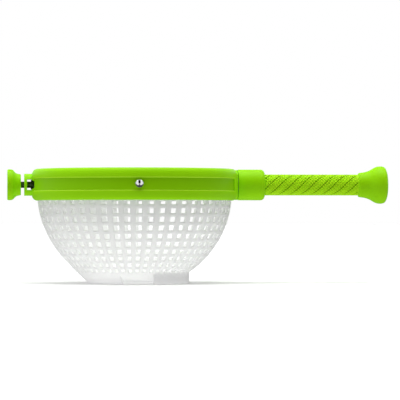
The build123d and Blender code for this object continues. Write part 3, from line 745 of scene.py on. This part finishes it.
# %% Lid rim
SHELF = TOP - 2.65
WEB = SHELF - 2.4
RIM_IN = 106.0
SHELF_IN = 99.0
SKIRT_R = (104.4, 106.4)
SKIRT_LOW = PART + 0.3
lid_flank = [(PART + rise, RING_R - inward) for rise, inward in shoulder if rise > STEP_ROUND]
lid_line = [(PART, RING_R), *lid_flank, (TOP, EDGE_R), (TOP, RIM_IN), (SHELF, RIM_IN),
            (SHELF, SHELF_IN), (WEB, SHELF_IN), (WEB, SKIRT_R[0]), (SKIRT_LOW, SKIRT_R[0]),
            (SKIRT_LOW, SKIRT_R[1]), (WEB, SKIRT_R[1]), (WEB, FRAME_IN), (PART, FRAME_IN)]
lid = turn("lid_rim", rounded(lid_line, {0: STEP_ROUND}), UPRIGHT, steps=180)
soften(lid, width=0.5, parts=3, angle=30.0)
lid_seat = hub_face("lid_seat", 16.4, PART + SEAT_GAP, 1)
lid = join("lid_rim", lid, ear("ear", -10.5, 10.5, 1), lid_seat)
# The lid's rounded edge gets the same painted highlight.
mark(lid, "edge", on_step)
dress(lid, lime)
place(lid, "lid", "lime_plastic", "lid_ring")

# %% [markdown]
# The collar turns on the drive hub and guides the grip. It is a plain turned tube with a generous
# round at its open end.

# %% Collar
COLLAR_ROUND = 4.4
collar_line = [(113.5, 13.0), (113.5, 16.9), (143.0, 16.9), (143.0, 11.85), (134.0, 11.85),
               (134.0, 13.0)]
collar = turn("swivel_sleeve", rounded(collar_line, {2: COLLAR_ROUND}, parts=10), LEVEL, steps=128)
soften(collar, width=0.6, parts=3, angle=30.0)
dress(collar, lime)
place(collar, "swivel_collar", "lime_plastic", "collar")

# %% [markdown]
# The grip is knurled: fine diamonds all over, crossed by six deeper spiral grooves. A bump in the
# material would not show at the outline, so the diamonds are real. They start flat: a grid is poked,
# its old edges are dissolved, and what is left is a sheet of diamonds.

# %% Sheet of diamonds
GRIP_X = 136.0
GRIP_END = 247.0
GRIP_R = 11.55
STARTS = 18
CELLS = 28
HAIR = 1e-6
ROUND = 2 * math.pi * GRIP_R * MM
LONG = (GRIP_END - GRIP_X) * MM
bpy.ops.object.select_all(action="DESELECT")
bpy.ops.mesh.primitive_grid_add(x_subdivisions=CELLS, y_subdivisions=STARTS, size=1,
                                location=(0, 0, 0))
grip = bpy.context.object
grip.name = grip.data.name = "knurled_grip"
grip.scale = (LONG, ROUND, 1)
bpy.ops.object.transform_apply(scale=True)
corners = len(grip.data.vertices)
bpy.ops.object.mode_set(mode="EDIT")
bpy.ops.mesh.select_all(action="SELECT")
bpy.ops.mesh.poke()
bpy.ops.mesh.select_mode(type="EDGE")
bpy.ops.mesh.select_all(action="DESELECT")
bpy.ops.object.mode_set(mode="OBJECT")
rim = [max(v.co[i] for v in grip.data.vertices) - HAIR for i in (0, 1)]
for edge in grip.data.edges:
    a, b = [grip.data.vertices[i].co for i in edge.vertices]
    on_rim = any(min(abs(a[i]), abs(b[i])) > rim[i] for i in (0, 1))
    edge.select = max(edge.vertices) < corners and not on_rim
bpy.ops.object.mode_set(mode="EDIT")
bpy.ops.mesh.dissolve_edges(use_verts=False)
bpy.ops.object.mode_set(mode="OBJECT")
print(len(grip.data.polygons), "diamonds")

# %% [markdown]
# The sheet is wrapped into a tube, point by point, and its long edges are merged. The half diamonds
# along that seam become whole when the seam's edges are dissolved. Only then is each diamond inset,
# because an inset before the wrap would leave the seam as a row of flat triangles.

# %% Wrap and inset
PAD_INSET = 0.5


def on_tube(x, around, radius):
    """A place on the grip, at a length in metres, a share of a turn and a radius."""
    angle = 2 * math.pi * around
    spoke = Vector((0, math.cos(angle), -math.sin(angle))) * radius
    return LEVEL[0] + (Vector((GRIP_X, 0, 0)) + spoke) * MM + Vector((x, 0, 0))


for vertex in grip.data.vertices:
    vertex.co = on_tube(vertex.co.x + LONG / 2, vertex.co.y / ROUND + 0.5, GRIP_R)
bpy.ops.object.mode_set(mode="EDIT")
tidy()
bpy.ops.mesh.select_all(action="DESELECT")
bpy.ops.object.mode_set(mode="OBJECT")
for edge in grip.data.edges:
    a, b = [grip.data.vertices[i].co - LEVEL[0] for i in edge.vertices]
    edge.select = abs(a.z) < MERGE * MM and abs(b.z) < MERGE * MM and min(a.y, b.y) > 0
bpy.ops.object.mode_set(mode="EDIT")
bpy.ops.mesh.dissolve_edges(use_verts=False)
bpy.ops.object.mode_set(mode="OBJECT")
print(pick_faces(grip, lambda face: len(face.vertices) == 4), "whole diamonds")
bpy.ops.mesh.inset(thickness=PAD_INSET * MM, depth=0.0, use_individual=True)
bpy.ops.object.mode_set(mode="OBJECT")

# %% [markdown]
# Now every point gets its radius. The inset faces stand high as pads, and what lies between them is a
# groove. Every third groove one way round is deeper and wider, which gives the six spirals. How deep
# a point lies is kept as an attribute, so that the finish can paint shade into the grooves.

# %% Raise the pads
PAD_TOP = GRIP_R - 0.03
FINE_GROOVE = GRIP_R - 0.55
SPIRAL_GROOVE = GRIP_R - 1.05
GROOVE_EVERY = 3
GROOVE_EXTRA = 0.07
BESIDE_GROOVE = 0.5
IN_GROOVE = 0.1
RIM_SHARE = 0.001
tops = {i for face in grip.data.polygons if face.select for i in face.vertices}
# The depth of each point drives the painted shade in the grooves.
depth = grip.data.attributes.new("groove", "FLOAT", "POINT")
for vertex in grip.data.vertices:
    spot = (vertex.co - LEVEL[0]) / MM
    along = (spot.x - GRIP_X) * MM / LONG
    around = math.atan2(-spot.z, spot.y) / (2 * math.pi) % 1
    spiral = (along * CELLS - around * STARTS) / GROOVE_EVERY
    cells_off = (spiral - round(spiral)) * GROOVE_EVERY
    raised = vertex.index in tops or min(along, 1 - along) < RIM_SHARE
    if vertex.index in tops and abs(cells_off) < BESIDE_GROOVE:
        along += math.copysign(GROOVE_EXTRA / CELLS, cells_off)
        around -= math.copysign(GROOVE_EXTRA / STARTS, cells_off)
    groove = SPIRAL_GROOVE if abs(cells_off) < IN_GROOVE else FINE_GROOVE
    radius = PAD_TOP if raised else groove
    depth.data[vertex.index].value = (GRIP_R - radius) / (GRIP_R - SPIRAL_GROOVE)
    vertex.co = on_tube(along * LONG, around, radius)
print(len(tops), "points on the pads")

# %% [markdown]
# The sleeve sits on a tube, so it needs a bore. Its two open rims are extruded and drawn in to the
# tube's radius, and the new rims are bridged.

# %% Bore of the grip
TUBE_R = 9.5
only(grip)
bpy.ops.object.mode_set(mode="EDIT")
bpy.ops.mesh.select_mode(type="EDGE")
tidy()
bpy.ops.mesh.select_all(action="DESELECT")
bpy.ops.mesh.select_non_manifold()
bpy.ops.mesh.extrude_region_move()
bpy.ops.object.mode_set(mode="OBJECT")
for vertex in grip.data.vertices:
    if vertex.select:
        spoke = vertex.co - LEVEL[0]
        spoke.x = 0
        vertex.co += spoke.normalized() * TUBE_R * MM - spoke
bpy.ops.object.mode_set(mode="EDIT")
bpy.ops.mesh.bridge_edge_loops()
tidy()
bpy.ops.object.mode_set(mode="OBJECT")
bpy.ops.object.shade_smooth_by_angle(angle=math.radians(25))
dress(grip, lime_grip)
place(grip, "grip", "lime_grip", "grip_sleeve")

# %% [markdown]
# The end knob flares like a trumpet. A smooth curve through a few points gives the flare, and it is
# drawn as a real Bezier curve so that its bends stay even. A small plug closes the screw's hole.

# %% End knob
flare = smooth_line([(249.0, 13.5), (253.5, 14.1), (259.0, 15.8), (263.4, 18.3), (267.0, 20.0),
                     (270.5, 20.6), (273.8, 20.4), (276.4, 19.2), (277.9, 16.6), (278.9, 13.0),
                     (279.4, 9.2)])
end_line = [(247.0, 9.5), (247.0, 12.3), (247.35, 12.95), (248.0, 13.35), *flare, (277.5, 9.0),
            (262.0, 9.0)]
end_knob = turn("flared_knob", end_line, LEVEL, steps=128)
soften(end_knob, width=0.35, parts=2, angle=35.0)
dress(end_knob, lime)
place(end_knob, "grip", "lime_plastic", "end_knob")
cap_line = [(277.5, 0), (277.5, 8.95), (279.45, 8.95), (279.3, 7.4), (279.55, 0)]
cap = turn("knob_plug", cap_line, LEVEL, steps=96, closed=False)
soften(cap, width=0.3, parts=2, angle=20.0)
dress(cap, lime)
place(cap, "grip", "lime_plastic", "knob_cap")

# %% [markdown]
# The pivot knob at the other end has a wide flat foot, a hollow flank and a short neck. It turns on a
# dark steel pin, which shows in the gap beside the knob and in the yoke's window.

# %% Pivot knob and pin
FOOT_ROUND = 1.3
pivot_flank = smooth_line([(-135.6, 16.9), (-133.4, 16.2), (-130.9, 13.6), (-128.9, 12.35),
                           (-126.4, 11.8)])
knob_line = [(-137.5, 12.0), (-139.5, 12.0), (-139.5, 16.9), *pivot_flank, (-124.6, 11.3),
             (-124.6, 4.5), (-132.6, 4.5), (-132.6, 7.5), (-137.5, 7.5)]
pivot = turn("pivot_foot_knob", rounded(knob_line, {2: FOOT_ROUND}), LEVEL, steps=128)
soften(pivot, width=0.45, parts=3, angle=35.0)
dress(pivot, lime)
place(pivot, "pivot_foot", "lime_plastic", "pivot_knob")

pin_line = [(-107.2, 0), (-107.2, 2.5), (-110.0, 2.5), (-110.0, 3.45), (-113.0, 5.3), (-113.8, 5.3),
            (-113.8, 3.45), (-124.6, 3.45), (-124.6, 2.95), (-132.6, 2.95), (-132.6, 2.5),
            (-133.5, 2.5), (-133.5, 3.0), (-134.8, 3.0), (-134.8, 0)]
pin = turn("steel_pivot_pin", pin_line, LEVEL, steps=64, closed=False)
soften(pin, width=0.2, parts=2, angle=30.0)
dress(pin, steel)
place(pin, "basket", "steel", "pivot_pin")

# %% [markdown]
# The latch button is a bright metal dome on a stem. A UV sphere would need cutting, so the dome's arc
# is drawn into the lathe's outline instead. Its back is hollow for the spring.

# %% Latch button
DOME_BASE = 113.9
DOME_R = 4.9
DOME_HIGH = 3.4
DOME_PARTS = 16
TAIL_END = 108.5
TAIL_R = 1.0
DISC_FACE = 110.1
STEM_R = 1.5
POCKET_END = 115.4
POCKET_R = 3.25
dome_ball = (DOME_R ** 2 + DOME_HIGH ** 2) / (2 * DOME_HIGH)
lean = math.asin(DOME_R / dome_ball)
dome_line = [(TAIL_END, 0), (TAIL_END, TAIL_R), (DISC_FACE, TAIL_R), (DISC_FACE, STEM_R),
             (POCKET_END, STEM_R), (POCKET_END, POCKET_R), (DOME_BASE, POCKET_R)]
for step in range(DOME_PARTS + 1):
    turned = lean * (1 - step / DOME_PARTS)
    sunk = dome_ball * (1 - math.cos(turned))
    dome_line.append((DOME_BASE + DOME_HIGH - sunk, dome_ball * math.sin(turned)))
button = turn("dome_button", dome_line, FORWARD, steps=64, closed=False)
soften(button, width=0.15, parts=2, angle=40.0)
dress(button, chrome)
place(button, "latch", "bright_steel", "latch_button")

# %% [markdown]
# A coil spring behind the dome pushes the button out again, and shortens as the button goes in. Its
# CAD shape is right, so a copy of it is merged and smoothed.

# %% Button spring
spring = bpy.data.objects.new("button_spring", nodes["latch_spring"].data.copy())
bpy.context.scene.collection.objects.link(spring)
only(spring)
bpy.ops.object.mode_set(mode="EDIT")
tidy()
bpy.ops.object.mode_set(mode="OBJECT")
bpy.ops.object.shade_smooth_by_angle(angle=math.radians(40))
dress(spring, steel)
place(spring, "basket", "steel", "latch_spring")
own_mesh(spring)

# %% [markdown]
# Floor and light are drawn with nodes that compare places and directions. Two small helpers add a
# soft step or a sum to the node tree in hand, which keeps the next cells short.

# %% Node helpers
def ramp(source, low, high, strength):
    """A soft step from 0 to a strength, as a value goes from low to high."""
    step = tree.nodes.new("ShaderNodeMapRange")
    step.interpolation_type = "SMOOTHSTEP"
    step.inputs["From Min"].default_value = low
    step.inputs["From Max"].default_value = high
    step.inputs["To Max"].default_value = strength
    link(source, step.inputs["Value"])
    return step.outputs["Result"]


def combine(operation, first, second):
    """Add, multiply or compare two values."""
    node = tree.nodes.new("ShaderNodeMath")
    node.operation = operation
    for socket, value in zip(node.inputs, (first, second)):
        if isinstance(value, float):
            socket.default_value = value
        else:
            link(value, socket)
    return node.outputs["Value"]


print("node helpers ready")

# %% [markdown]
# A plain pale floor stands for a lit studio table. To the camera it is white where nothing shades it,
# so that it runs into the white background without a line, and it keeps the spinner's shadow. To the
# light that bounces off it, the table glows softly, a little more under the bowl, and fills the
# undersides. Shiny pieces see a pale front edge of the table.

# %% Floor
TABLE_GLOW = 0.66
SPOT_GLOW = 0.2
SPOT_REACH = (0.22, 0.09)
DIM_TONE = 0.06
CAMERA_TONE = 0.98
MIRROR_GLOW = 0.9
MIRROR_START = (-0.2, -0.27)
MIRROR_GAP = (0.05, 0.1)
bpy.ops.object.select_all(action="DESELECT")
bpy.ops.mesh.primitive_plane_add(size=60, location=(0, 0, 0))
floor = bpy.context.object
floor.name = "studio_floor"
pale = bpy.data.materials.new("pale_floor")
pale.use_nodes = True
tree = pale.node_tree
link = tree.links.new
surface = tree.nodes["Principled BSDF"]
surface.inputs["Roughness"].default_value = 1.0
surface.inputs["Specular IOR Level"].default_value = 0.0
surface.inputs["Emission Color"].default_value = (1, 1, 1, 1)
path = tree.nodes.new("ShaderNodeLightPath")
to_camera, to_metal = path.outputs["Is Camera Ray"], path.outputs["Is Glossy Ray"]
tone = tree.nodes.new("ShaderNodeMix")
tone.data_type = "RGBA"
tone.inputs["A"].default_value = (DIM_TONE, DIM_TONE, DIM_TONE, 1)
tone.inputs["B"].default_value = (CAMERA_TONE, CAMERA_TONE, CAMERA_TONE, 1)
link(to_camera, tone.inputs["Factor"])
link(tone.outputs["Result"], surface.inputs["Base Color"])
where = tree.nodes.new("ShaderNodeTexCoord")
split = tree.nodes.new("ShaderNodeSeparateXYZ")
link(where.outputs["Object"], split.inputs["Vector"])
beside = combine("ABSOLUTE", combine("SUBTRACT", split.outputs["X"], BOWL_X), 0.0)
mirrored = combine("MULTIPLY", ramp(split.outputs["Y"], *MIRROR_START, MIRROR_GLOW),
                   ramp(beside, *MIRROR_GAP, 1.0))
unseen = combine("SUBTRACT", 1.0, combine("MAXIMUM", to_camera, to_metal))
ahead = combine("POWER", split.outputs["Y"], 2.0)
near = combine("POWER", combine("ADD", combine("POWER", beside, 2.0), ahead), 0.5)
table = combine("ADD", ramp(near, *SPOT_REACH, SPOT_GLOW), TABLE_GLOW)
glow = combine("ADD", combine("MULTIPLY", unseen, table), combine("MULTIPLY", mirrored, to_metal))
link(glow, surface.inputs["Emission Strength"])
dress(floor, pale)
print("floor", [round(v, 1) for v in floor.dimensions])

# %% [markdown]
# The light is a tent of white cloth, as for catalogue pictures: bright above, paler behind and at the
# sides, and dim where the camera stands. It could be built of lamps and cards, but a tent painted on
# the world by direction has no edges to hide. The camera itself sees plain white.

# %% Light tent
ABOVE, ABOVE_EDGE = 4.8, (0.78, 0.97)
BEHIND, BEHIND_EDGE, BEHIND_FOOT = 0.25, (0.0, 0.6), (0.15, 0.5)
LEFT, RIGHT = 0.46, 0.14
LEFT_EDGE, RIGHT_EDGE = (-0.3, -0.6), (0.3, 0.6)
DIM_FRONT = 0.02
GAP, GAP_EDGE, GAP_SIDE = 0.85, (-0.2, -0.5), (0.45, 0.3)
TILT = math.radians(2.0)
scene = bpy.context.scene
scene.view_settings.view_transform = "Standard"
world = bpy.data.worlds.new("studio")
scene.world = world
world.use_nodes = True
tree = world.node_tree
link = tree.links.new
air = tree.nodes["Background"]
air.inputs["Color"].default_value = (1, 1, 1, 1)
where = tree.nodes.new("ShaderNodeTexCoord")
split = tree.nodes.new("ShaderNodeSeparateXYZ")
link(where.outputs["Generated"], split.inputs["Vector"])
x, y, z = (split.outputs[axis] for axis in "XYZ")
sideways = combine("ABSOLUTE", x, 0.0)
lifted = combine("ADD", combine("MULTIPLY", z, math.cos(TILT)),
                 combine("MULTIPLY", y, math.sin(TILT)))
above = ramp(lifted, *ABOVE_EDGE, ABOVE)
behind = combine("MULTIPLY", ramp(y, *BEHIND_EDGE, BEHIND), ramp(z, *BEHIND_FOOT, 1.0))
sides = combine("ADD", ramp(x, *LEFT_EDGE, LEFT), ramp(x, *RIGHT_EDGE, RIGHT))
tent = combine("ADD", combine("ADD", behind, above), sides)
tent = combine("ADD", tent, DIM_FRONT)
gap = combine("MULTIPLY", ramp(y, *GAP_EDGE, GAP), ramp(sideways, *GAP_SIDE, 1.0))
tent = combine("MULTIPLY", tent, combine("SUBTRACT", 1.0, gap))
print("light tent painted")

# %% [markdown]
# Bright metal shows the whole room, so it needs more than an even tent. Shiny rays also see the white
# backdrop, a pale card on each side of the camera, and a dark strip between them, which gives the
# dome its black and white bars.

# %% What metal sees
CARD, CARD_EDGE, CARD_FRONT = 0.95, (0.34, 0.48), (0.2, -0.1)
STRIP, STRIP_EDGE, STRIP_FRONT, STRIP_TOP = 0.97, (0.48, 0.34), (0.25, 0.0), (0.3, 0.5)
BACKDROP_EDGE = (0.0, 0.3)
path = tree.nodes.new("ShaderNodeLightPath")
shiny = combine("MAXIMUM", path.outputs["Is Glossy Ray"], path.outputs["Is Transmission Ray"])
cards = combine("MULTIPLY", ramp(sideways, *CARD_EDGE, CARD), ramp(y, *CARD_FRONT, 1.0))
strip = combine("MULTIPLY", ramp(sideways, *STRIP_EDGE, STRIP),
                combine("MAXIMUM", ramp(y, *STRIP_FRONT, 1.0), ramp(z, *STRIP_TOP, 1.0)))
shiny_strip = combine("MULTIPLY", strip, shiny)
tent = combine("MULTIPLY", tent, combine("SUBTRACT", 1.0, shiny_strip))
tent = combine("MAXIMUM", tent, combine("MULTIPLY", cards, shiny))
backdrop = combine("MULTIPLY", ramp(y, *BACKDROP_EDGE, 1.0),
                   combine("SUBTRACT", shiny, shiny_strip))
seen = tree.nodes.new("ShaderNodeMix")
link(combine("MAXIMUM", path.outputs["Is Camera Ray"], backdrop), seen.inputs["Factor"])
link(tent, seen.inputs["A"])
seen.inputs["B"].default_value = 1.0
link(seen.outputs["Result"], air.inputs["Strength"])
print("backdrop, cards and strip painted")

# %% [markdown]
# In the picture the bowl's holes are brighter than its wall, because light falls into the open bowl.
# The lid keeps ours out, so a soft lamp hangs inside the bowl and points down. A point lamp would
# also light the ring from within and tint the bowl green.

# %% Lamp in the bowl
bowl_lamp = bpy.data.lights.new("bowl_lamp", "SPOT")
bowl_lamp.energy = 0.28
bowl_lamp.spot_size = math.radians(162)
bowl_lamp.spot_blend = 0.35
bowl_lamp.shadow_soft_size = 0.03
holder = bpy.data.objects.new("bowl_lamp", bowl_lamp)
scene.collection.objects.link(holder)
holder.location = LEVEL[0]
holder.visible_camera = holder.visible_glossy = False
print("lamp of", round(bowl_lamp.energy, 2), "W in the bowl")

# %% [markdown]
# The camera stands low and far away, as the picture shows: the ring is seen almost edge on, and its
# middle stands a little higher than its ends. A small shift frames the spinner without tilting
# the camera, so upright lines stay upright.

# %% Camera
MM_PER_PIXEL = 1.1
PIXELS = 400
AWAY = 3.0
EYE_Z = 0.07
AIM_X = 0.0019
MIDDLE_Z = 0.0909
SENSOR = 36.0
TURN = math.radians(-4.0)
wide = MM_PER_PIXEL * PIXELS * MM
aim = Vector((AIM_X, 0, EYE_Z))
camera = bpy.data.objects.new("camera", bpy.data.cameras.new("camera"))
scene.collection.objects.link(camera)
back = Vector((math.sin(TURN), -math.cos(TURN), 0))
camera.location = aim + back * AWAY
camera.rotation_euler = (-back).to_track_quat("-Z", "Y").to_euler()
camera.data.sensor_width = SENSOR
camera.data.lens = SENSOR * AWAY / wide
camera.data.shift_y = (MIDDLE_Z - EYE_Z) / wide
camera.data.clip_end = 50.0
scene.camera = camera
print("camera", [round(v, 3) for v in camera.location], "lens", round(camera.data.lens, 1))
